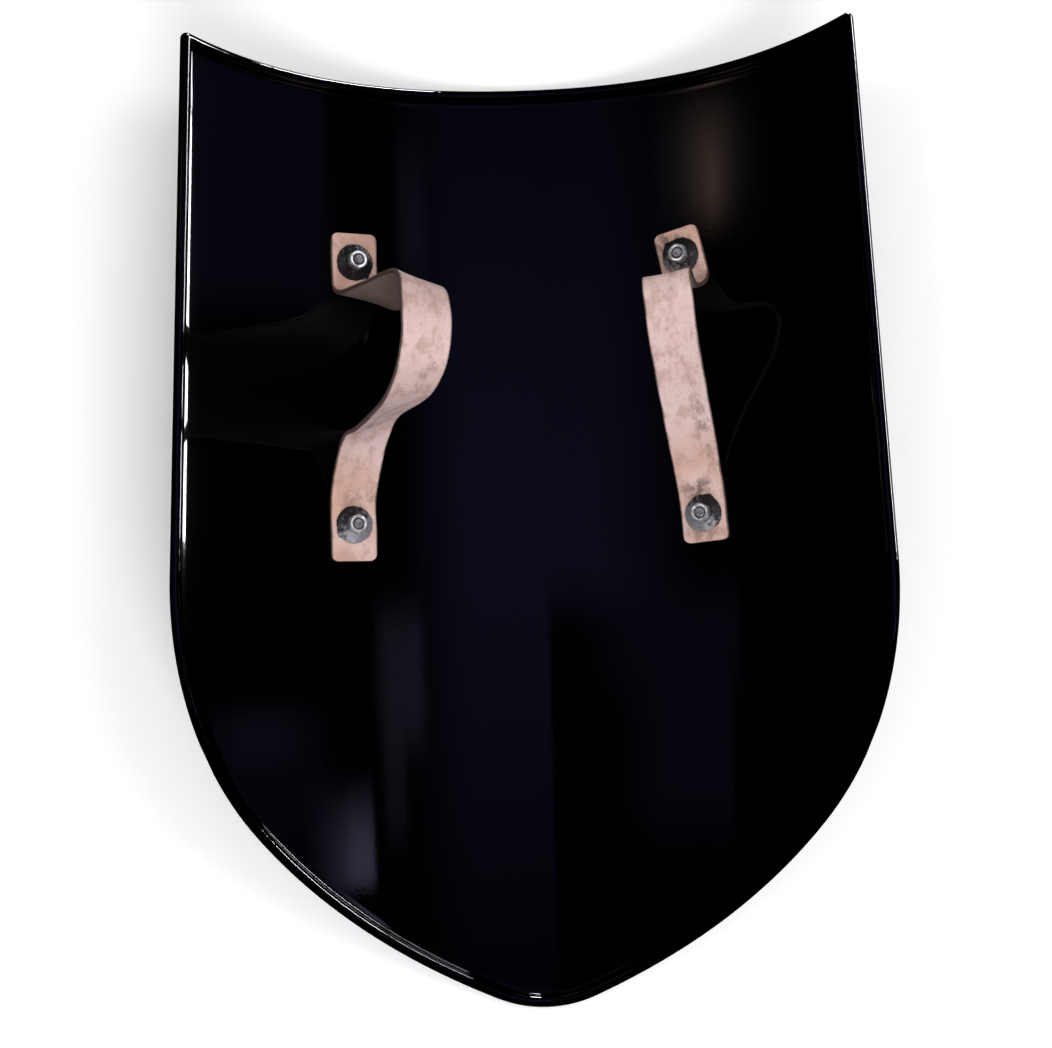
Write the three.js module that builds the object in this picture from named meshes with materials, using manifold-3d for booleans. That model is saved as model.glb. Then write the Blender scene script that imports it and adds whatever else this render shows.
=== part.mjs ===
// A heater shield of black-painted sheet steel, lying on the crown of its curved front with its back up.
// Millimetres, +Z up. X runs across the shield, +Y points to its top edge and -Y to its tip.
// The sheet is laid out flat first: u runs round the curve, v runs up the shield, and lift is the
// distance from the front face toward the back.
import * as THREE from 'three';
import { mergeVertices } from 'three/addons/utils/BufferGeometryUtils.js';
import Module from 'manifold-3d';

// Plate. The length is from the tip to the corners as they are before rounding.
const SHIELD_LENGTH = 608.5;
const SHEET_WIDTH = 482.5;
const CURVE_RADIUS = 301;
const SHEET_THICKNESS = 1.2;
const REST_STRIP_WIDTH = 24;
const COLUMN_WIDTH = 10;

// Outline of the flat sheet
const SIDE_LEAN_DEG = 2.4;
const SHOULDER_RADIUS = 225;
const SHOULDER_TURN_DEG = 41.5;
const FLANK_TURN_DEG = 66.5;
const NOSE_RADIUS = 79.5;
const TOP_SAG = 16;
const TOP_SAG_POWER = 3.3;
const CORNER_RADIUS = 4;
const LEAST_ROUND = 0.6;

// Edge rolled over toward the back
const BEAD_RADIUS = 3.6;
const BEAD_FILLET_RADIUS = 2;

// Straps
const STRAP_WIDTH = 30;
const STRAP_THICKNESS = 3;
const STRAP_EDGE_CHAMFER = 0.5;
const TAB_CORNER_RADIUS = 5;
const CURVE_TENSION = 0.5;

// Where the straps' bolts are on the flat sheet
const ARM_TOP_U = -112.5;
const ARM_TOP_V = 172;
const ARM_BOTTOM_U = -117;
const ARM_BOTTOM_V = 4;
const HAND_TOP_U = 104.5;
const HAND_TOP_V = 170.5;
const HAND_BOTTOM_U = 113;
const HAND_BOTTOM_V = 4.5;

// Leather from each bolt to the end of its tab, and from the bolt to where the loop starts to lift
const ARM_TOP_TAB = 19;
const ARM_TOP_FLAT = 13;
const ARM_BOTTOM_TAB = 23;
const ARM_BOTTOM_FLAT = 14;
const HAND_TOP_TAB = 18;
const HAND_TOP_FLAT = 12;
const HAND_BOTTOM_TAB = 18;
const HAND_BOTTOM_FLAT = 13;

// How far the middle of each loop's leather stands off the plate at its highest
const ARM_LOOP_HEIGHT = 118.5;
const HAND_LOOP_HEIGHT = 67.5;

// Fixings
const BOLT_DIAMETER = 6.35;
const BOLT_HEAD_DIAMETER = 15;
const BOLT_HEAD_HEIGHT = 3.6;
const BOLT_END_PROUD = 0.5;
const BOLT_END_CHAMFER = 0.6;
const NUT_ACROSS_FLATS = 11.1;
const NUT_HEIGHT = 5.6;
const WASHER_DIAMETER = 23.8;
const WASHER_THICKNESS = 1.4;
const WASHER_RISE = 2.6;
const WASHER_CROWN_DIAMETER = 12.5;
const WASHER_WANDER = 0.3;
const WASHER_TOOTH = 1;
const TOOTH_SHARPNESS = 60;

// Waves of a hand-cut washer's edge: how many go round, where each starts, and its share of the wander
const WASHER_WAVES = [[3, 0, 0.5], [7, 1, 0.25], [11, 2, 0.17]];

// Clearances
const FIT_GAP = 0.3;
const HOLE_CLEARANCE = 0.65;

// Fineness of the facets
const ROUND_SIDES = 24;
const WASHER_SIDES = 30;
const BEAD_STEPS = 6;
const FILLET_STEPS = 2;
const CORNER_STEPS = 3;
const SHOULDER_STEPS = 8;
const DOME_STEPS = 5;
const TAB_ROUND_STEPS = 4;
const LOOP_STEPS_PER_STATION = 5;

// Each strap is held by two bolts. The loop between them goes through stations: share of the way from the
// top bolt to the bottom one, shift across and lift off the plate as shares of the loop's height, and the
// skew and cant in degrees of the strap's width, turned toward the top edge and away from the plate.
const ARM_STRAP = {
  name: 'arm',
  height: ARM_LOOP_HEIGHT,
  top: { u: ARM_TOP_U, v: ARM_TOP_V, turn: 0, tab: ARM_TOP_TAB, flat: ARM_TOP_FLAT },
  bottom: { u: ARM_BOTTOM_U, v: ARM_BOTTOM_V, turn: 0, tab: ARM_BOTTOM_TAB, flat: ARM_BOTTOM_FLAT },
  loop: [
    { share: 0.14, across: 0.01, lift: 0.1, skew: -5, cant: -5 },
    { share: 0.185, across: 0.035, lift: 0.39, skew: -27, cant: -9 },
    { share: 0.185, across: 0.1, lift: 0.805, skew: -16, cant: -9 },
    { share: 0.305, across: 0.085, lift: 0.995, skew: -5, cant: 1 },
    { share: 0.46, across: 0.075, lift: 1, skew: -4, cant: -1 },
    { share: 0.58, across: 0.06, lift: 0.79, skew: 6, cant: -8 },
    { share: 0.64, across: 0.015, lift: 0.42, skew: 18, cant: -10 },
    { share: 0.685, across: 0, lift: 0.245, skew: 1, cant: -3 },
    { share: 0.8, across: 0, lift: 0.085, skew: -3, cant: 2 },
  ],
};
const HAND_STRAP = {
  name: 'hand',
  height: HAND_LOOP_HEIGHT,
  top: { u: HAND_TOP_U, v: HAND_TOP_V, turn: 12, tab: HAND_TOP_TAB, flat: HAND_TOP_FLAT },
  bottom: { u: HAND_BOTTOM_U, v: HAND_BOTTOM_V, turn: 4, tab: HAND_BOTTOM_TAB, flat: HAND_BOTTOM_FLAT },
  loop: [
    { share: 0.13, across: 0.045, lift: 0.16, skew: 11, cant: 1 },
    { share: 0.165, across: 0.04, lift: 0.58, skew: -2, cant: -2 },
    { share: 0.15, across: 0.055, lift: 0.88, skew: 6, cant: -3 },
    { share: 0.175, across: 0.07, lift: 0.985, skew: 6, cant: -4 },
    { share: 0.25, across: 0.08, lift: 1, skew: 5, cant: -8 },
    { share: 0.425, across: 0.065, lift: 0.83, skew: 5, cant: -8 },
    { share: 0.77, across: 0, lift: 0.2, skew: 8, cant: -8 },
    { share: 0.84, across: -0.01, lift: 0.095, skew: 7, cant: -4 },
  ],
};

const BOLT_RADIUS = BOLT_DIAMETER / 2;
const HOLE_RADIUS = BOLT_RADIUS + HOLE_CLEARANCE / 2;
const SHEET_HALF = SHEET_WIDTH / 2;

// The strap's flat underside clears the hollow of the curved plate along both its edges.
const STRAP_SEAT = STRAP_WIDTH ** 2 / (8 * (CURVE_RADIUS - SHEET_THICKNESS)) + FIT_GAP;
const STRAP_CENTRE_LIFT = STRAP_SEAT + STRAP_THICKNESS / 2;

const radians = THREE.MathUtils.degToRad;
const wasm = await Module();
wasm.setup();

function toManifold(geometry) {
  const bare = geometry.clone();
  bare.deleteAttribute('normal');
  bare.deleteAttribute('uv');
  const merged = mergeVertices(bare, 1e-4);
  return new wasm.Manifold(new wasm.Mesh({
    numProp: 3,
    vertProperties: new Float32Array(merged.attributes.position.array),
    triVerts: new Uint32Array(merged.index.array),
  }));
}

function toGeometry(solid) {
  const mesh = solid.getMesh();
  const geometry = new THREE.BufferGeometry();
  geometry.setAttribute('position', new THREE.BufferAttribute(new Float32Array(mesh.vertProperties), 3));
  geometry.setIndex(new THREE.BufferAttribute(new Uint32Array(mesh.triVerts), 1));
  geometry.computeVertexNormals();
  return geometry;
}

function closedMesh(points, faces) {
  const geometry = new THREE.BufferGeometry();
  geometry.setAttribute('position', new THREE.Float32BufferAttribute(points.flatMap((p) => p.toArray()), 3));
  geometry.setIndex(faces.flat());
  geometry.computeVertexNormals();
  return geometry;
}

// Bending the sheet

function onPlate(u, v, lift) {
  const y = v - middleV();
  if (Math.abs(u) < REST_STRIP_WIDTH / 2) return new THREE.Vector3(u, y, lift);
  const angle = u / CURVE_RADIUS;
  const axisHeight = CURVE_RADIUS * Math.cos(REST_STRIP_WIDTH / 2 / CURVE_RADIUS);
  const reach = CURVE_RADIUS - lift;
  return new THREE.Vector3(reach * Math.sin(angle), y, axisHeight - reach * Math.cos(angle));
}

function plateFrame(u) {
  const angle = u / CURVE_RADIUS;
  return {
    across: new THREE.Vector3(Math.cos(angle), 0, Math.sin(angle)),
    up: new THREE.Vector3(0, 1, 0),
    off: new THREE.Vector3(-Math.sin(angle), 0, Math.cos(angle)),
  };
}

// Outline: a hollow top edge, sides that lean out, then shoulder, flank and nose arcs, each tangent to
// the one before it

const lean = radians(SIDE_LEAN_DEG);
const shoulderTurn = radians(SHOULDER_TURN_DEG);
const flankTurn = radians(FLANK_TURN_DEG);
const tipV = -SHIELD_LENGTH / 2;
const cornerV = SHIELD_LENGTH / 2;
const shoulderReach = SHOULDER_RADIUS * (1 - Math.cos(shoulderTurn));
const noseReach = NOSE_RADIUS * Math.cos(flankTurn);
const flankRadius = (SHEET_HALF - shoulderReach - noseReach) / (Math.cos(shoulderTurn) - Math.cos(flankTurn));
const noseTop = tipV + NOSE_RADIUS * (1 - Math.sin(flankTurn));
const shoulderEnd = noseTop + flankRadius * (Math.sin(flankTurn) - Math.sin(shoulderTurn));
const widestV = shoulderEnd + SHOULDER_RADIUS * Math.sin(shoulderTurn);
const sideFoot = {
  u: SHEET_HALF - SHOULDER_RADIUS * (1 - Math.cos(lean)),
  v: widestV + SHOULDER_RADIUS * Math.sin(lean),
};
const cornerU = sideFoot.u - (cornerV - sideFoot.v) * Math.tan(lean);
const topSlopeAtCorner = TOP_SAG * TOP_SAG_POWER / cornerU;

function topPoint(u) {
  const share = u / cornerU;
  const slope = topSlopeAtCorner * share ** (TOP_SAG_POWER - 1);
  const size = Math.hypot(1, slope);
  return {
    u,
    v: cornerV - TOP_SAG + TOP_SAG * share ** TOP_SAG_POWER,
    inward: { u: slope / size, v: -1 / size },
  };
}

function arcPoint(u, turn, v) {
  return { u, v, inward: { u: -Math.cos(turn), v: Math.sin(turn) } };
}

// The lower edge at a distance u from the middle, on whichever arc that is.
function lowerPoint(u) {
  if (u < noseReach) {
    const turn = Math.acos(u / NOSE_RADIUS);
    return arcPoint(u, turn, tipV + NOSE_RADIUS * (1 - Math.sin(turn)));
  }
  if (u < SHEET_HALF - shoulderReach) {
    const turn = Math.acos(Math.cos(flankTurn) + (u - noseReach) / flankRadius);
    return arcPoint(u, turn, noseTop + flankRadius * (Math.sin(flankTurn) - Math.sin(turn)));
  }
  const turn = Math.acos(1 - (SHEET_HALF - u) / SHOULDER_RADIUS);
  return arcPoint(u, turn, widestV - SHOULDER_RADIUS * Math.sin(turn));
}

function sidePoint(u) {
  if (u > sideFoot.u) {
    const turn = Math.acos(1 - (SHEET_HALF - u) / SHOULDER_RADIUS);
    const v = widestV + SHOULDER_RADIUS * Math.sin(turn);
    return { u, v, inward: { u: -Math.cos(turn), v: -Math.sin(turn) } };
  }
  const v = sideFoot.v + (sideFoot.u - u) / Math.tan(lean);
  return { u, v, inward: { u: -Math.cos(lean), v: -Math.sin(lean) } };
}

function inset(point, distance) {
  return { u: point.u + point.inward.u * distance, v: point.v + point.inward.v * distance };
}

// The rounded corner of the loop set in by a distance. Its round shrinks with the inset, down to a small one.
function cornerPoints(distance) {
  const round = Math.max(CORNER_RADIUS - distance, LEAST_ROUND);
  const topAngle = Math.PI / 2 + Math.atan(topSlopeAtCorner);
  const sideAngle = lean;
  const half = (topAngle - sideAngle) / 2;
  const middle = (topAngle + sideAngle) / 2;
  const reach = (distance + round) / Math.cos(half);
  const centre = { u: cornerU - Math.cos(middle) * reach, v: cornerV - Math.sin(middle) * reach };
  const points = [];
  for (let i = 0; i <= CORNER_STEPS; i += 1) {
    const angle = topAngle + (sideAngle - topAngle) * i / CORNER_STEPS;
    points.push({ u: centre.u + round * Math.cos(angle), v: centre.v + round * Math.sin(angle) });
  }
  return points;
}

// Columns: every point of the upper edge is matched by one of the lower edge at about the same u, so the
// strips between them lie along the straight lines of the curved sheet.
const stripEdge = REST_STRIP_WIDTH / 2;
const lastColumn = cornerU - 2.5 * (BEAD_RADIUS + BEAD_FILLET_RADIUS);
const columnCount = Math.round((lastColumn - stripEdge) / COLUMN_WIDTH);
const columns = [0];
for (let i = 0; i <= columnCount; i += 1) {
  columns.push(stripEdge + (lastColumn - stripEdge) * i / columnCount);
}
const sideColumns = [];
const cornerTurn = Math.acos(1 - (SHEET_HALF - cornerU) / SHOULDER_RADIUS);
for (let i = SHOULDER_STEPS - 1; i >= 0; i -= 1) {
  sideColumns.push(SHEET_HALF - SHOULDER_RADIUS * (1 - Math.cos(cornerTurn * i / SHOULDER_STEPS)));
}

function halfLoop(distance) {
  const corner = cornerPoints(distance);
  const upper = [
    ...columns.map((u) => inset(topPoint(u), distance)),
    ...corner,
    ...sideColumns.map((u) => inset(sidePoint(u), distance)),
  ];
  const matching = [...columns, ...cornerPoints(0).map((p) => Math.min(p.u, cornerU)), ...sideColumns];
  const lower = matching.slice(0, -1).reverse().map((u) => inset(lowerPoint(u), distance));
  return [...upper, ...lower];
}

// Halfway between the tip and the rounded corners, where the part's own Y is zero
function middleV() {
  return (tipV + Math.max(...cornerPoints(0).map((p) => p.v))) / 2;
}

function wholeLoop(distance) {
  const right = halfLoop(distance);
  const left = right.slice(1, -1).reverse().map((p) => ({ u: -p.u, v: p.v }));
  return [...right, ...left];
}

// The rim's section, from the front face round the bead to the foot of its fillet on the back face. Its steps
// are eighths of a turn, so that one falls on the outermost point of the bead.
function rimSection() {
  const drop = BEAD_RADIUS - SHEET_THICKNESS - BEAD_FILLET_RADIUS;
  const filletAt = BEAD_RADIUS + Math.sqrt((BEAD_RADIUS + BEAD_FILLET_RADIUS) ** 2 - drop ** 2);
  const meet = Math.atan2(-drop, filletAt - BEAD_RADIUS);
  const section = [];
  const start = -Math.PI / 2;
  const end = meet - 2 * Math.PI;
  for (let i = 0; i <= BEAD_STEPS; i += 1) {
    const angle = i < BEAD_STEPS ? start - Math.PI / 4 * i : end;
    section.push({
      inset: BEAD_RADIUS + BEAD_RADIUS * Math.cos(angle),
      lift: BEAD_RADIUS + BEAD_RADIUS * Math.sin(angle),
    });
  }
  for (let i = 1; i <= FILLET_STEPS; i += 1) {
    const angle = meet + Math.PI + (Math.PI / 2 - meet) * i / FILLET_STEPS;
    section.push({
      inset: filletAt + BEAD_FILLET_RADIUS * Math.cos(angle),
      lift: SHEET_THICKNESS + BEAD_FILLET_RADIUS + BEAD_FILLET_RADIUS * Math.sin(angle),
    });
  }
  return section;
}

function plateBlank() {
  const rings = rimSection().map((s) => wholeLoop(s.inset).map((p) => onPlate(p.u, p.v, s.lift)));
  const count = rings[0].length;
  const quarter = count / 4;
  const faces = [];
  for (let r = 0; r + 1 < rings.length; r += 1) {
    for (let i = 0; i < count; i += 1) {
      const a = r * count + i;
      const b = r * count + (i + 1) % count;
      faces.push([a, b + count, b], [a, a + count, b + count]);
    }
  }
  const mirrored = (i) => (count - i) % count;
  const back = (rings.length - 1) * count;
  for (let k = 0; k < quarter; k += 1) {
    const strip = [k, k + 1, 2 * quarter - k - 1, 2 * quarter - k];
    const other = strip.map(mirrored).reverse();
    for (const [a, b, c, d] of [strip, other]) {
      const corners = [...new Set([a, b, c, d])];
      for (let i = 1; i + 1 < corners.length; i += 1) {
        faces.push([corners[0], corners[i], corners[i + 1]]);
        faces.push([back + corners[0], back + corners[i + 1], back + corners[i]]);
      }
    }
  }
  return closedMesh(rings.flat(), faces);
}

// A group whose Z stands off the plate's back face at a bolt, with its Y along the strap's tab
function seatAt(bolt) {
  const seat = new THREE.Group();
  const frame = plateFrame(bolt.u);
  seat.matrix.makeBasis(frame.across, frame.up, frame.off);
  seat.matrix.multiply(new THREE.Matrix4().makeRotationZ(radians(bolt.turn)));
  seat.matrix.setPosition(onPlate(bolt.u, bolt.v, SHEET_THICKNESS));
  seat.matrix.decompose(seat.position, seat.quaternion, seat.scale);
  return seat;
}

function boltHole(bolt) {
  const reach = STRAP_SEAT + STRAP_THICKNESS + 2 * BEAD_RADIUS;
  const drill = new THREE.CylinderGeometry(HOLE_RADIUS, HOLE_RADIUS, 2 * reach, ROUND_SIDES);
  drill.rotateX(Math.PI / 2);
  const seat = seatAt(bolt);
  seat.updateMatrix();
  return toManifold(drill.applyMatrix4(seat.matrix));
}

function drilled(blank, bolts) {
  let solid = toManifold(blank);
  for (const bolt of bolts) solid = solid.subtract(boltHole(bolt));
  return toGeometry(solid);
}

// Straps: a band of constant width, swept through its stations

function widthAt(frame, skew, cant) {
  return frame.across.clone()
    .addScaledVector(frame.up, Math.tan(radians(skew)))
    .addScaledVector(frame.off, Math.tan(radians(cant)))
    .normalize();
}

function tabStation(bolt, distance) {
  const frame = plateFrame(bolt.u);
  const turn = radians(bolt.turn);
  const mix = (across, up) => frame.across.clone().multiplyScalar(across).addScaledVector(frame.up, up);
  const along = mix(-Math.sin(turn), Math.cos(turn));
  return {
    centre: onPlate(bolt.u, bolt.v, SHEET_THICKNESS + STRAP_CENTRE_LIFT).addScaledVector(along, distance),
    width: mix(Math.cos(turn), Math.sin(turn)),
    along,
  };
}

function loopStation(strap, row) {
  const u = THREE.MathUtils.lerp(strap.top.u, strap.bottom.u, row.share);
  const v = THREE.MathUtils.lerp(strap.top.v, strap.bottom.v, row.share);
  const frame = plateFrame(u);
  const foot = onPlate(u, v, SHEET_THICKNESS);
  return {
    centre: foot
      .addScaledVector(frame.across, row.across * strap.height)
      .addScaledVector(frame.off, row.lift * strap.height),
    width: widthAt(frame, row.skew, row.cant),
  };
}

// A point beyond the tab's end of the loop, placed so that the loop leaves the tab straight along it
function leadIn(tabEnd, first, away) {
  const reach = tabEnd.centre.distanceTo(first.centre);
  return first.centre.clone().addScaledVector(tabEnd.along, -2 * away * reach);
}

function strapSections(strap) {
  const sections = [];
  const tab = (bolt, away) => {
    const rows = [];
    for (let i = 0; i <= TAB_ROUND_STEPS; i += 1) {
      const back = TAB_CORNER_RADIUS * (1 - Math.cos(Math.PI / 2 * i / TAB_ROUND_STEPS));
      const lost = TAB_CORNER_RADIUS * (1 - Math.sin(Math.PI / 2 * i / TAB_ROUND_STEPS));
      rows.push({ ...tabStation(bolt, away * (bolt.tab - back)), narrower: lost });
    }
    return rows;
  };
  const topFlat = tabStation(strap.top, -strap.top.flat);
  const bottomFlat = tabStation(strap.bottom, strap.bottom.flat);
  const loop = strap.loop.map((row) => loopStation(strap, row));
  const knots = [topFlat, ...loop, bottomFlat];
  const path = new THREE.CatmullRomCurve3([
    leadIn(topFlat, loop[0], -1),
    ...knots.map((k) => k.centre),
    leadIn(bottomFlat, loop[loop.length - 1], 1),
  ], false, 'catmullrom', CURVE_TENSION);
  const widths = new THREE.CatmullRomCurve3([
    topFlat.width,
    ...knots.map((k) => k.width),
    bottomFlat.width,
  ], false, 'catmullrom', CURVE_TENSION);
  sections.push(...tab(strap.top, 1));
  const spans = knots.length + 1;
  const steps = (knots.length - 1) * LOOP_STEPS_PER_STATION;
  for (let i = 0; i <= steps; i += 1) {
    const t = (1 + i / LOOP_STEPS_PER_STATION) / spans;
    sections.push({ centre: path.getPoint(t), width: widths.getPoint(t).normalize(), narrower: 0 });
  }
  sections.push(...tab(strap.bottom, -1).reverse());
  return sections;
}

function strapBand(strap) {
  const sections = strapSections(strap);
  const half = STRAP_THICKNESS / 2;
  const points = [];
  sections.forEach((section, i) => {
    const before = sections[Math.max(i - 1, 0)].centre;
    const after = sections[Math.min(i + 1, sections.length - 1)].centre;
    const tangent = after.clone().sub(before).normalize();
    const face = new THREE.Vector3().crossVectors(tangent, section.width).negate().normalize();
    const halfWidth = STRAP_WIDTH / 2 - section.narrower;
    const inner = halfWidth - STRAP_EDGE_CHAMFER;
    const flat = half - STRAP_EDGE_CHAMFER;
    const ring = [[-inner, half], [inner, half], [halfWidth, flat], [halfWidth, -flat],
      [inner, -half], [-inner, -half], [-halfWidth, -flat], [-halfWidth, flat]];
    for (const [x, y] of ring) {
      points.push(section.centre.clone().addScaledVector(section.width, x).addScaledVector(face, y));
    }
  });
  const sides = points.length / sections.length;
  const faces = [];
  for (let s = 0; s + 1 < sections.length; s += 1) {
    for (let k = 0; k < sides; k += 1) {
      const next = (k + 1) % sides;
      const a = s * sides + k;
      const b = s * sides + next;
      faces.push([a, b, b + sides], [a, b + sides, a + sides]);
    }
  }
  const last = (sections.length - 1) * sides;
  for (let k = 1; k + 1 < sides; k += 1) {
    faces.push([0, k + 1, k], [last, last + k, last + k + 1]);
  }
  return closedMesh(points, faces);
}

// Fixings, each with its Z along the bolt and its zero on the plate's back face

const WASHER_SEAT = STRAP_SEAT + STRAP_THICKNESS + FIT_GAP;
const NUT_SEAT = WASHER_SEAT + WASHER_RISE + WASHER_THICKNESS + FIT_GAP;
const NUT_TOP = NUT_SEAT + NUT_HEIGHT;

function lathe(profile, sides) {
  const points = profile.map(([r, z]) => new THREE.Vector2(r, z));
  return new THREE.LatheGeometry(points, sides).rotateX(Math.PI / 2);
}

function boltSolid() {
  const underHead = -SHEET_THICKNESS - FIT_GAP;
  const end = NUT_TOP + BOLT_END_PROUD;
  const headRadius = BOLT_HEAD_DIAMETER / 2;
  const profile = [];
  for (let i = 0; i <= DOME_STEPS; i += 1) {
    const angle = Math.PI / 2 * i / DOME_STEPS;
    profile.push([headRadius * Math.sin(angle), underHead - BOLT_HEAD_HEIGHT * Math.cos(angle)]);
  }
  profile.push([BOLT_RADIUS, underHead], [BOLT_RADIUS, end - BOLT_END_CHAMFER]);
  profile.push([BOLT_RADIUS - BOLT_END_CHAMFER, end], [0, end]);
  return lathe(profile, ROUND_SIDES);
}

// A dished washer, hand-cut: its edge wanders and has one sharp tooth, and each washer is turned differently.
function washerSolid(turn) {
  const edge = WASHER_DIAMETER / 2;
  const crown = WASHER_CROWN_DIAMETER / 2;
  const low = WASHER_SEAT;
  const top = WASHER_SEAT + WASHER_RISE + WASHER_THICKNESS;
  const under = top - WASHER_THICKNESS;
  const profile = [
    [HOLE_RADIUS, under],
    [crown, under],
    [edge, low],
    [edge, low + WASHER_THICKNESS / 2],
    [crown, top],
    [HOLE_RADIUS, top],
    [HOLE_RADIUS, under],
  ];
  const geometry = lathe(profile, WASHER_SIDES);
  const position = geometry.attributes.position;
  for (let i = 0; i < position.count; i += 1) {
    const x = position.getX(i);
    const y = position.getY(i);
    const radius = Math.hypot(x, y);
    if (radius < (edge + crown) / 2) continue;
    const angle = Math.atan2(y, x) + turn;
    const waves = WASHER_WAVES.map(([count, start, part]) => part * Math.sin(count * angle + start));
    const wander = waves.reduce((sum, wave) => sum + wave, 0);
    const tooth = Math.max(0, Math.cos(angle)) ** TOOTH_SHARPNESS;
    const scale = 1 + (WASHER_WANDER * wander + WASHER_TOOTH * tooth) / edge;
    position.setXY(i, x * scale, y * scale);
  }
  return geometry;
}

function nutSolid() {
  const corner = NUT_ACROSS_FLATS / Math.sqrt(3);
  const hexagon = new THREE.Shape();
  for (let i = 0; i < 6; i += 1) {
    const angle = Math.PI / 6 + Math.PI / 3 * i;
    hexagon[i ? 'lineTo' : 'moveTo'](corner * Math.cos(angle), corner * Math.sin(angle));
  }
  hexagon.holes.push(new THREE.Path().absarc(0, 0, HOLE_RADIUS, 0, 2 * Math.PI, true));
  const extrusion = { depth: NUT_HEIGHT, bevelEnabled: false, curveSegments: ROUND_SIDES };
  const prism = new THREE.ExtrudeGeometry(hexagon, extrusion);
  prism.translate(0, 0, NUT_SEAT);
  const chamfer = corner - NUT_ACROSS_FLATS / 2;
  const rounder = lathe([
    [0, NUT_SEAT],
    [corner, NUT_SEAT],
    [corner, NUT_TOP - chamfer],
    [NUT_ACROSS_FLATS / 2, NUT_TOP],
    [0, NUT_TOP],
  ], ROUND_SIDES);
  return toGeometry(toManifold(prism).intersect(toManifold(rounder)));
}

// Finishes

function finish(color, roughness, metalness) {
  return () => new THREE.MeshStandardMaterial({ color, roughness, metalness });
}
const blackPaint = finish(0x08090e, 0.12, 0);
const leather = finish(0xd9bfb2, 0.7, 0);
const zinc = finish(0xc8cbd0, 0.3, 1);
const darkSteel = finish(0x4a484b, 0.35, 1);
const boltSteel = finish(0x95959b, 0.4, 1);

function piece(name, geometry, material) {
  const mesh = new THREE.Mesh(geometry, material());
  mesh.name = name;
  return mesh;
}

// Assembly

const straps = [ARM_STRAP, HAND_STRAP];
const shield = new THREE.Group();
const allBolts = straps.flatMap((strap) => [strap.top, strap.bottom]);
shield.add(piece('shield_plate', drilled(plateBlank(), allBolts), blackPaint));
straps.forEach((strap) => {
  const band = drilled(strapBand(strap), [strap.top, strap.bottom]);
  shield.add(piece(`${strap.name}_strap`, band, leather));
  for (const end of ['top', 'bottom']) {
    const seat = seatAt(strap[end]);
    const where = `${strap.name}_${end}`;
    const washerTurn = strap[end].u + strap[end].v;
    seat.add(piece(`bolt_${where}`, boltSolid(), boltSteel));
    seat.add(piece(`washer_${where}`, washerSolid(washerTurn), darkSteel));
    seat.add(piece(`nut_${where}`, nutSolid(), zinc));
    shield.add(seat);
  }
});

export default shield;
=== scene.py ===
# A heater shield of black enamelled sheet steel, lying on the crown of its curved front, with its
# back and its two leather straps up. Shapes are worked in millimetres and laid down in metres.
import math
from bisect import bisect_right

import bmesh
import bpy
from mathutils import Matrix, Vector, noise


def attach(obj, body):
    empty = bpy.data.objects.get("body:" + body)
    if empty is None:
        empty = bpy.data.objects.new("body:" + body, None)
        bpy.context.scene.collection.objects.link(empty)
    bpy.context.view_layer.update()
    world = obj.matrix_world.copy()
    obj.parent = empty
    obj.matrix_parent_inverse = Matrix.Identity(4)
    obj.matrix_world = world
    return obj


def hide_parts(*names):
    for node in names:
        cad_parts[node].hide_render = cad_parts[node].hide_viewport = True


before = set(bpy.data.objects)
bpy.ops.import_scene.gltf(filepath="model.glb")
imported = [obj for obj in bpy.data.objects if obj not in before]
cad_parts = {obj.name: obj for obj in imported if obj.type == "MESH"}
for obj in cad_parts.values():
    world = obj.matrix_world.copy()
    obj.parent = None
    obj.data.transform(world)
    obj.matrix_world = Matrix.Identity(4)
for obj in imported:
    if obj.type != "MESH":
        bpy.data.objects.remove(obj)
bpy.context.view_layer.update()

MM = 0.001

# Plate
SHIELD_LENGTH = 608.5
SHEET_WIDTH = 482.5
CURVE_RADIUS = 301
SHEET_THICKNESS = 1.2
REST_STRIP_WIDTH = 24
CROWN_EASE = 60
SIDE_LEAN = math.radians(2.4)
SHOULDER_RADIUS = 225
SHOULDER_TURN = math.radians(41.5)
FLANK_TURN = math.radians(66.5)
NOSE_RADIUS = 79.5
TOP_SAG = 16
TOP_SAG_POWER = 3.3
CORNER_RADIUS = 4
LEAST_ROUND = 0.6

# Rolled edge: the bead, the hollow fillet that joins it to the back face, and the flat rings on
# the front and the back. The back one draws in to the fillet near the corners. FAR_FROM_EDGE is
# in metres, and stands for whatever isn't rim.
BEAD_RADIUS = 3.6
BEAD_STEPS = 24
BEAD_FILLET_RADIUS = 2
BEAD_FILLET_STEPS = 8
BEAD_RIPPLE = 0.22
RIPPLE_LENGTH = 9
FRONT_INSETS = (8.5, 6, 4.6)
BACK_LAND = 3
BACK_LAND_LEAST_SHARE = 0.03
BACK_LAND_EASE = 90
FAR_FROM_EDGE = 0.03

# Straps: their section, how much the leather wanders from it, and how far from a bolt it comes free
STRAP_WIDTH = 30
STRAP_THICKNESS = 3
STRAP_EDGE_ROUND = 0.9
STRAP_CUP = 0.5
STRAP_SIDE_WANDER = 0.35
STRAP_FACE_WANDER = 0.22
STRAP_ROW = 1.6
STRAP_COLUMN = 2.5
TAB_CORNER_RADIUS = 5
TAB_HOLE_PATCH = 5
CLAMPED_UP_TO = 10
FREE_FROM = 22

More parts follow.
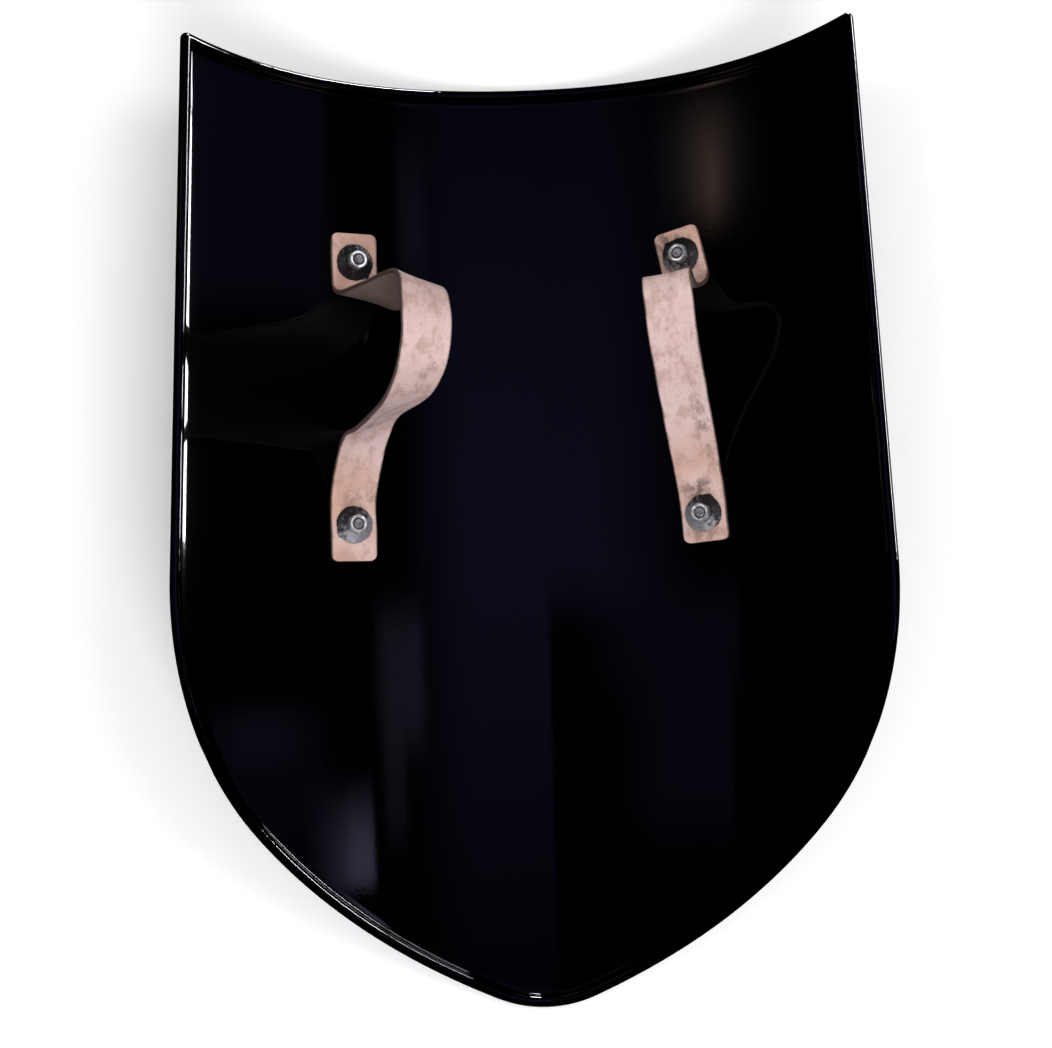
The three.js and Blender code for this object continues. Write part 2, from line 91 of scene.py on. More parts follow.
# Fixings
BOLT_RADIUS = 6.35 / 2
BOLT_HEAD_RADIUS = 7.5
BOLT_HEAD_HEIGHT = 3.6
BOLT_HEAD_RIM = 0.5
BOLT_HEAD_TURN = math.radians(86)
BOLT_END_PROUD = 0.5
THREAD_PITCH = 1.27
THREAD_DEPTH = 0.45
NUT_HALF_FLATS = 11.1 / 2
NUT_HEIGHT = 5.6
NUT_CORNER_CUT = 0.2
NUT_CHAMFER_SLOPE = 0.62
WASHER_RADIUS = 23.8 / 2
WASHER_THICKNESS = 1.4
WASHER_RISE = 2.6
WASHER_CROWN_RADIUS = 12.5 / 2
FIT_GAP = 0.3
HOLE_RADIUS = BOLT_RADIUS + 0.325
HOLE_SIDES = 24
HOLE_PATCH = BOLT_HEAD_RADIUS - 1.5

STRAP_SEAT = STRAP_WIDTH ** 2 / (8 * (CURVE_RADIUS - SHEET_THICKNESS)) + FIT_GAP
STRAP_CENTRE_LIFT = STRAP_SEAT + STRAP_THICKNESS / 2
WASHER_SEAT = STRAP_SEAT + STRAP_THICKNESS + FIT_GAP
NUT_SEAT = WASHER_SEAT + WASHER_RISE + WASHER_THICKNESS + FIT_GAP
NUT_TOP = NUT_SEAT + NUT_HEIGHT

# Each strap: its two bolts on the flat sheet, the height of its loop, and the loop's stations. A
# station has its share of the way down, its shift across and its lift off the plate as shares of
# the height, and its skew and cant in degrees.
STRAPS = {
    "arm": {
        "height": 118.5,
        "top": {"u": -112.5, "v": 172, "turn": 0, "tab": 19, "flat": 13},
        "bottom": {"u": -117, "v": 4, "turn": 0, "tab": 23, "flat": 14},
        "loop": [
            (0.14, 0.01, 0.1, -5, -5), (0.185, 0.035, 0.39, -27, -9), (0.185, 0.1, 0.805, -16, -9),
            (0.305, 0.085, 0.995, -5, 1), (0.46, 0.075, 1, -4, -1), (0.58, 0.06, 0.79, 6, -8),
            (0.64, 0.015, 0.42, 18, -10), (0.685, 0, 0.245, 1, -3), (0.8, 0, 0.085, -3, 2),
        ],
    },
    "hand": {
        "height": 67.5,
        "top": {"u": 104.5, "v": 170.5, "turn": 12, "tab": 18, "flat": 12},
        "bottom": {"u": 113, "v": 4.5, "turn": 4, "tab": 18, "flat": 13},
        "loop": [
            (0.13, 0.045, 0.16, 11, 1), (0.165, 0.04, 0.58, -2, -2), (0.15, 0.055, 0.88, 6, -3),
            (0.175, 0.07, 0.985, 6, -4), (0.25, 0.08, 1, 5, -8), (0.425, 0.065, 0.83, 5, -8),
            (0.77, 0, 0.2, 8, -8), (0.84, -0.01, 0.095, 7, -4),
        ],
    },
}

# Outline of the flat sheet

SHEET_HALF = SHEET_WIDTH / 2
TIP_V = -SHIELD_LENGTH / 2
CORNER_V = SHIELD_LENGTH / 2
SHOULDER_REACH = SHOULDER_RADIUS * (1 - math.cos(SHOULDER_TURN))
NOSE_REACH = NOSE_RADIUS * math.cos(FLANK_TURN)
FLANK_RADIUS = ((SHEET_HALF - SHOULDER_REACH - NOSE_REACH)
                / (math.cos(SHOULDER_TURN) - math.cos(FLANK_TURN)))
NOSE_TOP = TIP_V + NOSE_RADIUS * (1 - math.sin(FLANK_TURN))
SHOULDER_END = NOSE_TOP + FLANK_RADIUS * (math.sin(FLANK_TURN) - math.sin(SHOULDER_TURN))
WIDEST_V = SHOULDER_END + SHOULDER_RADIUS * math.sin(SHOULDER_TURN)
SIDE_FOOT_U = SHEET_HALF - SHOULDER_RADIUS * (1 - math.cos(SIDE_LEAN))
SIDE_FOOT_V = WIDEST_V + SHOULDER_RADIUS * math.sin(SIDE_LEAN)
CORNER_U = SIDE_FOOT_U - (CORNER_V - SIDE_FOOT_V) * math.tan(SIDE_LEAN)
TOP_SLOPE = TOP_SAG * TOP_SAG_POWER / CORNER_U

COLUMN_WIDTH = 4
CORNER_STEPS = 6
SIDE_STEPS = 26


def top_point(u, inset):
    share = u / CORNER_U
    slope = TOP_SLOPE * share ** (TOP_SAG_POWER - 1)
    size = math.hypot(1, slope)
    v = CORNER_V - TOP_SAG + TOP_SAG * share ** TOP_SAG_POWER
    return u + slope / size * inset, v - inset / size


def arc_point(u, v, turn, inset):
    return u - math.cos(turn) * inset, v + math.sin(turn) * inset


def lower_point(u, inset):
    if u < NOSE_REACH:
        turn = math.acos(u / NOSE_RADIUS)
        v = TIP_V + NOSE_RADIUS * (1 - math.sin(turn))
    elif u < SHEET_HALF - SHOULDER_REACH:
        turn = math.acos(math.cos(FLANK_TURN) + (u - NOSE_REACH) / FLANK_RADIUS)
        v = NOSE_TOP + FLANK_RADIUS * (math.sin(FLANK_TURN) - math.sin(turn))
    else:
        turn = math.acos(1 - (SHEET_HALF - u) / SHOULDER_RADIUS)
        v = WIDEST_V - SHOULDER_RADIUS * math.sin(turn)
    return arc_point(u, v, turn, inset)


def side_point(u, inset):
    if u > SIDE_FOOT_U:
        turn = math.acos(1 - (SHEET_HALF - u) / SHOULDER_RADIUS)
        return arc_point(u, WIDEST_V + SHOULDER_RADIUS * math.sin(turn), -turn, inset)
    v = SIDE_FOOT_V + (SIDE_FOOT_U - u) / math.tan(SIDE_LEAN)
    return arc_point(u, v, -SIDE_LEAN, inset)


def corner_points(inset):
    rounding = max(CORNER_RADIUS - inset, LEAST_ROUND)
    top_angle = math.pi / 2 + math.atan(TOP_SLOPE)
    middle = (top_angle + SIDE_LEAN) / 2
    reach = (inset + rounding) / math.cos((top_angle - SIDE_LEAN) / 2)
    centre_u = CORNER_U - math.cos(middle) * reach
    centre_v = CORNER_V - math.sin(middle) * reach
    angles = [top_angle + (SIDE_LEAN - top_angle) * i / CORNER_STEPS
              for i in range(CORNER_STEPS + 1)]
    return [(centre_u + rounding * math.cos(a), centre_v + rounding * math.sin(a)) for a in angles]


MIDDLE_V = (TIP_V + max(v for _, v in corner_points(0))) / 2
FILLET_DROP = BEAD_RADIUS - SHEET_THICKNESS - BEAD_FILLET_RADIUS
FILLET_AT = BEAD_RADIUS + math.sqrt((BEAD_RADIUS + BEAD_FILLET_RADIUS) ** 2 - FILLET_DROP ** 2)
LAST_COLUMN = CORNER_U - 2.5 * (BEAD_RADIUS + BEAD_FILLET_RADIUS)
COLUMN_COUNT = round(LAST_COLUMN / COLUMN_WIDTH)
COLUMNS = [LAST_COLUMN * i / COLUMN_COUNT for i in range(COLUMN_COUNT + 1)]
CORNER_TURN = math.acos(1 - (SHEET_HALF - CORNER_U) / SHOULDER_RADIUS)
SIDE_COLUMNS = [SHEET_HALF - SHOULDER_RADIUS * (1 - math.cos(CORNER_TURN * i / SIDE_STEPS))
                for i in range(SIDE_STEPS - 1, -1, -1)]


def smooth_step(low, high, value):
    share = min(max((value - low) / (high - low), 0), 1)
    return share * share * (3 - 2 * share)


def eased(u, v, inset):
    """How far in a point of the outline really lies. The ring beyond the fillet comes close to it
    at the corners."""
    if inset <= FILLET_AT:
        return inset
    room = smooth_step(0, BACK_LAND_EASE, math.hypot(u - CORNER_U, v - CORNER_V))
    share = BACK_LAND_LEAST_SHARE + (1 - BACK_LAND_LEAST_SHARE) * room
    return FILLET_AT + (inset - FILLET_AT) * share


def outline(inset):
    """The whole outline set in by a distance, clockwise from the middle of the top edge."""
    across = COLUMNS + [min(u, CORNER_U) for u, _ in corner_points(0)] + SIDE_COLUMNS
    right = [top_point(u, eased(*top_point(u, 0), inset)) for u in COLUMNS]
    right += corner_points(eased(CORNER_U, CORNER_V, inset))
    right += [side_point(u, eased(*side_point(u, 0), inset)) for u in SIDE_COLUMNS]
    right += [lower_point(u, inset) for u in reversed(across[:-1])]
    return right + [(-u, v) for u, v in reversed(right[1:-1])]


# Bending the flat sheet. The crown is eased so that it touches the floor without a crease.

AXIS_HEIGHT = CURVE_RADIUS * math.cos(REST_STRIP_WIDTH / 2 / CURVE_RADIUS)
EASE_X = CURVE_RADIUS * math.sin(CROWN_EASE / CURVE_RADIUS)
EASE_Z = AXIS_HEIGHT - CURVE_RADIUS * math.cos(CROWN_EASE / CURVE_RADIUS)
EASE_FOURTH = (math.tan(CROWN_EASE / CURVE_RADIUS) * EASE_X / 2 - EASE_Z) / EASE_X ** 4
EASE_SQUARE = EASE_Z / EASE_X ** 2 - EASE_FOURTH * EASE_X ** 2


def on_plate(u, v, lift):
    """Where a spot of the flat sheet lands when the sheet is bent, at a lift off its front face."""
    x = CURVE_RADIUS * math.sin(u / CURVE_RADIUS)
    z = AXIS_HEIGHT - CURVE_RADIUS * math.cos(u / CURVE_RADIUS)
    tilt = u / CURVE_RADIUS
    if abs(x) < EASE_X:
        z = EASE_SQUARE * x ** 2 + EASE_FOURTH * x ** 4
        tilt = math.atan(2 * EASE_SQUARE * x + 4 * EASE_FOURTH * x ** 3)
    return Vector((x - lift * math.sin(tilt), v - MIDDLE_V, z + lift * math.cos(tilt)))


def plate_axes(u):
    angle = u / CURVE_RADIUS
    across = Vector((math.cos(angle), 0, math.sin(angle)))
    off = Vector((-math.sin(angle), 0, math.cos(angle)))
    return across, Vector((0, 1, 0)), off


# Mesh helpers

def lay_down(bm, name, material, node, sharp_angle):
    """Turns a finished bmesh into a piece of the shield that stands for one CAD node."""
    bmesh.ops.recalc_face_normals(bm, faces=bm.faces[:])
    mesh = bpy.data.meshes.new(name)
    bm.to_mesh(mesh)
    bm.free()
    mesh.shade_smooth()
    mesh.set_sharp_from_angle(angle=math.radians(sharp_angle))
    piece = bpy.data.objects.new(name, mesh)
    bpy.context.scene.collection.objects.link(piece)
    piece.data.materials.append(material)
    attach(piece, "root")
    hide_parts(node)
    return piece


def start_ring(bm, places):
    """A closed ring of numbered vertices, so that the rings grown from it know their places."""
    station = bm.verts.layers.int.new("station")
    circle = bmesh.ops.create_circle(bm, segments=len(places), radius=1)["verts"]
    circle.sort(key=lambda vert: math.atan2(vert.co.x, vert.co.y) % (2 * math.pi))
    for number, (vert, place) in enumerate(zip(circle, places)):
        vert[station] = number
        vert.co = place
    return list({edge for vert in circle for edge in vert.link_edges})


def grow_ring(bm, edges, places):
    station = bm.verts.layers.int["station"]
    grown = bmesh.ops.extrude_edge_only(bm, edges=edges)["geom"]
    verts = {item for item in grown if isinstance(item, bmesh.types.BMVert)}
    for vert in verts:
        vert.co = places[vert[station]]
    return [item for item in grown
            if isinstance(item, bmesh.types.BMEdge) and set(item.verts) <= verts]


def ring_verts(bm, edges):
    station = bm.verts.layers.int["station"]
    return sorted({vert for edge in edges for vert in edge.verts}, key=lambda vert: vert[station])


def cut_across(bm, faces, axis, at):
    normal = Vector((0, 0, 0))
    normal[axis] = 1
    geometry = set(faces)
    for face in faces:
        geometry.update(face.edges)
        geometry.update(face.verts)
    bmesh.ops.bisect_plane(bm, geom=list(geometry), dist=1e-4, plane_co=normal * at,
                           plane_no=normal)


def open_hole(bm, patch, centre):
    """Takes a patch of faces out and closes the gap up to a round hole. Returns its edges."""
    inside = set(patch)
    border = [edge for edge in {e for f in patch for e in f.edges}
              if sum(face in inside for face in edge.link_faces) == 1]
    bmesh.ops.delete(bm, geom=patch, context="FACES")
    circle = bmesh.ops.create_circle(bm, segments=HOLE_SIDES, radius=HOLE_RADIUS,
                                     matrix=Matrix.Translation(centre))["verts"]
    edges = list({edge for vert in circle for edge in vert.link_edges})
    bmesh.ops.bridge_loops(bm, edges=border + edges)
    return edges


# Plate

def rim_section():
    """Set-in and lift of each ring, from the front face round the bead to the back face."""
    meet = math.atan2(-FILLET_DROP, FILLET_AT - BEAD_RADIUS)
    section = [(inset, 0) for inset in FRONT_INSETS]
    start, end = -math.pi / 2, meet - 2 * math.pi
    for i in range(BEAD_STEPS + 1):
        angle = start + (end - start) * i / BEAD_STEPS
        section.append((BEAD_RADIUS + BEAD_RADIUS * math.cos(angle),
                        BEAD_RADIUS + BEAD_RADIUS * math.sin(angle)))
    for i in range(1, BEAD_FILLET_STEPS + 1):
        angle = meet + math.pi + (math.pi / 2 - meet) * i / BEAD_FILLET_STEPS
        lift = SHEET_THICKNESS + BEAD_FILLET_RADIUS + BEAD_FILLET_RADIUS * math.sin(angle)
        section.append((FILLET_AT + BEAD_FILLET_RADIUS * math.cos(angle), lift))
    section.append((FILLET_AT + BACK_LAND, SHEET_THICKNESS))
    return section


def ring_places(loop, nominal, lift, ripple):
    """A ring's places on the flat sheet. The bead is a little flatter where its ripple says so."""
    flatter = [rise / BEAD_RADIUS if nominal < 2 * BEAD_RADIUS else 0 for rise in ripple]
    return [Vector((u, v, lift * (1 - share))) for (u, v), share in zip(loop, flatter)]


def passing_faces(bm, u, v, lift, reach=math.inf):
    """The faces on one side of the flat sheet that pass a bolt's place, and whose middle is within
    reach of it along the sheet."""
    level_tolerance = 0.02
    faces = []
    for face in bm.faces:
        middle = face.calc_center_median()
        near = abs(middle.x - u) < HOLE_PATCH + COLUMN_WIDTH and abs(middle.y - v) < reach
        level = all(abs(vert.co.z - lift) < level_tolerance for vert in face.verts)
        heights = [vert.co.y for vert in face.verts]
        if near and level and min(heights) < v < max(heights):
            faces.append(face)
    return faces


def close_side(bm, loop):
    """Fills one side of the flat sheet with long faces that run from the top edge to the tip."""
    count = len(loop)
    half = count // 2
    bmesh.ops.contextual_create(bm, geom=loop)
    for k in range(1, count // 4):
        for a, b in ((k, half - k), (count - k, half + k)):
            bmesh.ops.connect_verts(bm, verts=[loop[a], loop[b]])
    bmesh.ops.connect_verts(bm, verts=[loop[0], loop[half]])


def drill_plate(bm, u, v):
    """Drills one bolt's hole through both sides of the flat sheet. Returns the rims' edges."""
    rims = []
    for lift in (0, SHEET_THICKNESS):
        for axis, at in ((1, v - HOLE_PATCH), (1, v + HOLE_PATCH), (0, u - HOLE_PATCH)):
            cut_across(bm, passing_faces(bm, u, v, lift), axis, at)
        cut_across(bm, passing_faces(bm, u, v, lift, HOLE_PATCH), 0, u + HOLE_PATCH)
        patch = [face for face in passing_faces(bm, u, v, lift, HOLE_PATCH)
                 if abs(face.calc_center_median().x - u) < HOLE_PATCH]
        rims += open_hole(bm, patch, Vector((u, v, lift)))
    bmesh.ops.bridge_loops(bm, edges=rims)
    return rims


def enamel_plate(material):
    """The sheet with its rolled edge, grown ring by ring, closed, drilled and then bent."""
    section = rim_section()
    loops = [outline(inset) for inset, _ in section]
    outermost = loops[section.index(min(section))]
    ripple = []
    for u, v in outermost:
        wave = noise.noise(Vector((u / RIPPLE_LENGTH, v / RIPPLE_LENGTH, 3)))
        ripple.append(BEAD_RIPPLE * (0.5 + 0.5 * wave))
    bm = bmesh.new()
    from_edge = bm.verts.layers.float.new("from_edge")
    ring = None
    for number, (loop, (nominal, lift)) in enumerate(zip(loops, section)):
        places = ring_places(loop, nominal, lift, ripple)
        ring = grow_ring(bm, ring, places) if number else start_ring(bm, places)
        verts = ring_verts(bm, ring)
        for vert in verts:
            vert[from_edge] = nominal * MM if number >= len(FRONT_INSETS) else FAR_FROM_EDGE
        if number == 0:
            first = verts
    close_side(bm, first)
    close_side(bm, verts)
    bm.verts.layers.int.remove(bm.verts.layers.int["station"])
    for strap in STRAPS.values():
        for end in ("top", "bottom"):
            for edge in drill_plate(bm, strap[end]["u"], strap[end]["v"]):
                for vert in edge.verts:
                    vert[from_edge] = FAR_FROM_EDGE
    for vert in bm.verts:
        vert.co = on_plate(*vert.co) * MM
    return lay_down(bm, "enamelled_plate", material, "shield_plate", 50)


# Straps

def flowing_point(p0, p1, p2, p3, t):
    """A place between p1 and p2, on the smooth curve that runs through all four."""
    square = 2 * p0 - 5 * p1 + 4 * p2 - p3
    cube = 3 * (p1 - p2) + p3 - p0
    return p1 + 0.5 * t * ((p2 - p0) + t * (square + t * cube))


def tab_place(bolt, distance):
    across, up, _ = plate_axes(bolt["u"])
    turn = math.radians(bolt["turn"])
    along = across * -math.sin(turn) + up * math.cos(turn)
    centre = on_plate(bolt["u"], bolt["v"], SHEET_THICKNESS + STRAP_CENTRE_LIFT) + along * distance
    return centre, across * math.cos(turn) + up * math.sin(turn), along


def loop_place(strap, row):
    share, shift, lift, skew, cant = row
    u = strap["top"]["u"] + (strap["bottom"]["u"] - strap["top"]["u"]) * share
    v = strap["top"]["v"] + (strap["bottom"]["v"] - strap["top"]["v"]) * share
    across, up, off = plate_axes(u)
    centre = on_plate(u, v, SHEET_THICKNESS) + (across * shift + off * lift) * strap["height"]
    width = across + up * math.tan(math.radians(skew)) + off * math.tan(math.radians(cant))
    return centre, width.normalized()


class StrapPath:
    """The middle line of a strap, measured along the leather from the end of its top tab."""

    TAB_STEPS = 12
    LOOP_STEPS = 26

    def __init__(self, strap):
        top, bottom = strap["top"], strap["bottom"]
        top_end, top_flat = tab_place(top, top["tab"]), tab_place(top, -top["flat"])
        low_flat, low_end = tab_place(bottom, bottom["flat"]), tab_place(bottom, -bottom["tab"])
        knots = [top_flat[:2]] + [loop_place(strap, row) for row in strap["loop"]] + [low_flat[:2]]
        lead = knots[1][0] + top_flat[2] * 2 * (top_flat[0] - knots[1][0]).length
        trail = knots[-2][0] - low_flat[2] * 2 * (low_flat[0] - knots[-2][0]).length
        centres = [lead] + [k[0] for k in knots] + [trail]
        widths = [knots[0][1]] + [k[1] for k in knots] + [knots[-1][1]]
        rows = []
        for i in range(self.TAB_STEPS):
            rows.append((top_end[0].lerp(top_flat[0], i / self.TAB_STEPS), top_end[1]))
        for k in range(1, len(centres) - 2):
            for i in range(self.LOOP_STEPS):
                t = i / self.LOOP_STEPS
                rows.append((flowing_point(*centres[k - 1:k + 3], t),
                             flowing_point(*widths[k - 1:k + 3], t).normalized()))
        for i in range(self.TAB_STEPS + 1):
            rows.append((low_flat[0].lerp(low_end[0], i / self.TAB_STEPS), low_flat[1]))
        self.centres = [row[0] for row in rows]
        self.widths = [row[1] for row in rows]
        self.marks = [0]
        for a, b in zip(self.centres, self.centres[1:]):
            self.marks.append(self.marks[-1] + (b - a).length)
        self.length = self.marks[-1]
        self.faces = []
        for i, width in enumerate(self.widths):
            ahead = self.centres[min(i + 1, len(rows) - 1)] - self.centres[max(i - 1, 0)]
            self.faces.append(ahead.cross(width).normalized())

    def place(self, x, s, t):
        """Where a spot of the flat strap lands: x across it, s along it and t off its middle."""
        i = min(max(bisect_right(self.marks, s) - 1, 0), len(self.marks) - 2)
        share = (s - self.marks[i]) / (self.marks[i + 1] - self.marks[i])
        mix = [row[i].lerp(row[i + 1], share) for row in (self.centres, self.widths, self.faces)]
        return mix[0] + mix[1].normalized() * x + mix[2].normalized() * t


def leather_strap(name, strap, dark_patches, seed):
    """A flat strip with rounded corners and two holes, thickened, and laid along its path."""
    path = StrapPath(strap)
    material = leather(name, path.length * MM, dark_patches)
    holes = (strap["top"]["tab"], path.length - strap["bottom"]["tab"])
    bm = bmesh.new()
    bmesh.ops.create_grid(bm, x_segments=1, y_segments=1, size=0.5)
    bmesh.ops.scale(bm, verts=bm.verts[:], vec=(STRAP_WIDTH, path.length, 1))
    bmesh.ops.translate(bm, verts=bm.verts[:], vec=(0, path.length / 2, 0))
    bmesh.ops.bevel(bm, geom=bm.verts[:], offset=TAB_CORNER_RADIUS, offset_type="OFFSET",
                    segments=8, profile=0.5, material=-1, affect="VERTICES")
    for i in range(1, int(path.length / STRAP_ROW)):
        cut_across(bm, bm.faces[:], 1, i * STRAP_ROW)
    for i in range(-5, 6):
        cut_across(bm, bm.faces[:], 0, i * STRAP_COLUMN)
    bmesh.ops.remove_doubles(bm, verts=bm.verts[:], dist=0.05)
    for hole in holes:
        patch = []
        for face in bm.faces:
            middle = face.calc_center_median()
            if max(abs(middle.x), abs(middle.y - hole)) < TAB_HOLE_PATCH:
                patch.append(face)
        open_hole(bm, patch, Vector((0, hole, 0)))
    bmesh.ops.recalc_face_normals(bm, faces=bm.faces[:])
    bmesh.ops.solidify(bm, geom=bm.faces[:], thickness=STRAP_THICKNESS)
    middle = sum(vert.co.z for vert in bm.verts) / len(bm.verts)
    bmesh.ops.translate(bm, verts=bm.verts[:], vec=(0, 0, -middle))
    rims = []
    for edge in bm.edges:
        by_hole = any((vert.co.xy - Vector((0, hole))).length <= TAB_HOLE_PATCH
                      for vert in edge.verts for hole in holes)
        if edge.calc_face_angle(0) > math.radians(60) and not by_hole:
            rims.append(edge)
    bmesh.ops.bevel(bm, geom=rims, offset=STRAP_EDGE_ROUND, offset_type="OFFSET", segments=4,
                    profile=0.5, material=-1, affect="EDGES", clamp_overlap=False)
    flat_place = bm.verts.layers.float_vector.new("flat_place")
    for vert in bm.verts:
        x, s, t = vert.co
        vert[flat_place] = vert.co * MM
        free = smooth_step(CLAMPED_UP_TO, FREE_FROM, min(abs(s - hole) for hole in holes))
        cup = STRAP_CUP * (x / (STRAP_WIDTH / 2)) ** 2 * free
        sideways = STRAP_SIDE_WANDER * noise.noise(Vector((x / 30, s / 14, seed)))
        off = STRAP_FACE_WANDER * noise.noise(Vector((x / 12, s / 16, seed + 9)))
        vert.co = path.place(x + sideways, s, t + cup + off * free) * MM
    return lay_down(bm, name, material, f"{name.split('_')[0]}_strap", 60)


# Fixings, each turned about its own axis with its foot on the plate's back face

def seat_matrix(bolt):
    across, up, off = plate_axes(bolt["u"])
    axes = Matrix((across, up, off)).transposed().to_4x4()
    place = Matrix.Translation(on_plate(bolt["u"], bolt["v"], SHEET_THICKNESS))
    return Matrix.Scale(MM, 4) @ place @ axes @ Matrix.Rotation(math.radians(bolt["turn"]), 4, "Z")


def turned(profile, sides):
    bm = bmesh.new()
    verts = [bm.verts.new((r, 0, z)) for r, z in profile]
    edges = [bm.edges.new(pair) for pair in zip(verts, verts[1:])]
    bmesh.ops.spin(bm, geom=verts + edges, cent=(0, 0, 0), axis=(0, 0, 1), angle=2 * math.pi,
                   steps=sides, use_merge=True)
    bmesh.ops.remove_doubles(bm, verts=bm.verts[:], dist=1e-3)
    return bm


def carriage_bolt(where, seat, material):
    """A domed head under the plate, a shank with rings for its thread, and a chamfered end."""
    under = -SHEET_THICKNESS - FIT_GAP
    end = NUT_TOP + BOLT_END_PROUD
    profile = []
    dome_steps = 12
    for i in range(dome_steps + 1):
        angle = BOLT_HEAD_TURN * i / dome_steps
        rise = (BOLT_HEAD_HEIGHT - BOLT_HEAD_RIM) * (1 - math.cos(angle))
        profile.append((BOLT_HEAD_RADIUS * math.sin(angle) / math.sin(BOLT_HEAD_TURN),
                        under - BOLT_HEAD_HEIGHT + rise))
    profile += [(BOLT_HEAD_RADIUS, under - 0.2), (BOLT_HEAD_RADIUS - 0.2, under),
                (BOLT_RADIUS, under)]
    z = NUT_SEAT - 2
    while z + THREAD_PITCH < end - 0.5:
        profile += [(BOLT_RADIUS, z), (BOLT_RADIUS, z + 0.15 * THREAD_PITCH),
                    (BOLT_RADIUS - THREAD_DEPTH, z + 0.55 * THREAD_PITCH)]
        z += THREAD_PITCH
    profile += [(BOLT_RADIUS, z), (BOLT_RADIUS - 0.1, end - 0.35), (BOLT_RADIUS - 0.45, end - 0.06),
                (BOLT_RADIUS - 0.9, end), (BOLT_RADIUS * 0.4, end - 0.05), (0, end - 0.08)]
    bm = turned(profile, 48)
    bm.transform(seat)
    return lay_down(bm, f"carriage_bolt_{where}", material, f"bolt_{where}", 35)


def washer_profile(low, top):
    """The section of a dished washer, from its hole out along the underside and back on top."""
    slope_steps = 8
    shares = [i / slope_steps for i in range(slope_steps + 1)]
    widths = [WASHER_CROWN_RADIUS + (WASHER_RADIUS - WASHER_CROWN_RADIUS) * share
              for share in shares]
    under = top - WASHER_THICKNESS
    edge = low + WASHER_THICKNESS / 2
    profile = [(HOLE_RADIUS, under)]
    profile += [(width, under - WASHER_RISE * share) for width, share in zip(widths, shares)]
    profile += [(WASHER_RADIUS + 0.05, low + 0.25), (WASHER_RADIUS - 0.05, low + 0.6)]
    profile += [(width, edge + (top - edge) * (1 - share))
                for width, share in zip(widths[-2::-1], shares[-2::-1])]
    return profile + [(HOLE_RADIUS + 0.25, top), (HOLE_RADIUS, top - 0.25), (HOLE_RADIUS, under)]


def dished_washer(where, seat, material, turn, lit_side, lit_spread):
    """Hand-cut from thin plate and dished with a hammer, so its edge wanders, with one tooth left
    by the shears, and its cone is faceted."""
    edge_wander, nick_depth, dent_depth, tooth_sharpness = 0.3, 0.5, 0.45, 60
    low, top = WASHER_SEAT, WASHER_SEAT + WASHER_RISE + WASHER_THICKNESS
    bm = turned(washer_profile(low, top), 120)
    for vert in bm.verts:
        radius = vert.co.xy.length
        share = smooth_step(WASHER_CROWN_RADIUS, WASHER_RADIUS, radius)
        if share == 0:
            continue
        angle = math.atan2(vert.co.y, vert.co.x) + turn
        cos, sin = math.cos(angle), math.sin(angle)
        wander = (math.sin(3 * angle) + math.sin(7 * angle + 1) / 2
                  + math.sin(11 * angle + 2) / 3) / 2
        nick = abs(noise.noise(Vector((cos * 5, sin * 5, turn))))
        tooth = max(0, cos) ** tooth_sharpness
        grown = (edge_wander * wander + tooth - nick_depth * nick) * share
        vert.co.x *= 1 + grown / WASHER_RADIUS
        vert.co.y *= 1 + grown / WASHER_RADIUS
        blow = noise.noise(Vector((cos * 1.7, sin * 1.7, turn * 3 + radius / 14)))
        if vert.co.z > low + 0.3:
            vert.co.z -= dent_depth * share * max(0, 0.2 + blow)
    # Painted light: this place turns the washer's lit side to +X, where its finish paints a paler
    # sector
    lit_side_place = bm.verts.layers.float_vector.new("lit_side_place")
    to_lit_side = Matrix.Rotation(-lit_side, 3, "Z")
    for vert in bm.verts:
        vert[lit_side_place] = (to_lit_side @ vert.co + Vector((lit_spread * WASHER_RADIUS, 0, 0))) * MM
    bm.transform(seat)
    return lay_down(bm, f"dished_washer_{where}", material, f"washer_{where}", 32)


def hex_nut(where, seat, material):
    sides = 120
    angles = [math.pi / 2 - 2 * math.pi * i / sides for i in range(sides)]
    most = NUT_HALF_FLATS / math.cos(math.pi / 6) - NUT_CORNER_CUT

    def ring(radius, z):
        return [Vector((radius * math.cos(a), radius * math.sin(a), z)) for a in angles]

    def hex_ring(base, sign):
        """A six-sided ring whose corners stand back from the base, as the chamfer leaves them."""
        places = []
        for a in angles:
            off_flat = (a + math.pi / 6) % (math.pi / 3) - math.pi / 6
            reach = min(NUT_HALF_FLATS / math.cos(off_flat), most)
            chamfer = max(0.08, (reach - NUT_HALF_FLATS * 0.97) * NUT_CHAMFER_SLOPE)
            places.append(Vector((reach * math.cos(a), reach * math.sin(a), base - sign * chamfer)))
        return places

    bm = bmesh.new()
    loops = [ring(HOLE_RADIUS - 0.1, NUT_SEAT + 0.3), ring(HOLE_RADIUS + 0.3, NUT_SEAT),
             ring(NUT_HALF_FLATS * 0.96, NUT_SEAT), hex_ring(NUT_SEAT, -1), hex_ring(NUT_TOP, 1),
             ring(NUT_HALF_FLATS * 0.95, NUT_TOP - 0.02), ring(NUT_HALF_FLATS * 0.9, NUT_TOP),
             ring(HOLE_RADIUS + 0.5, NUT_TOP), ring(HOLE_RADIUS + 0.35, NUT_TOP - 0.08),
             ring(HOLE_RADIUS - 0.1, NUT_TOP - 0.6)]
    first = edges = start_ring(bm, loops[0])
    for places in loops[1:]:
        edges = grow_ring(bm, edges, places)
    bmesh.ops.bridge_loops(bm, edges=first + edges)
    bm.transform(seat)
    return lay_down(bm, f"hex_nut_{where}", material, f"nut_{where}", 28)


# Finishes

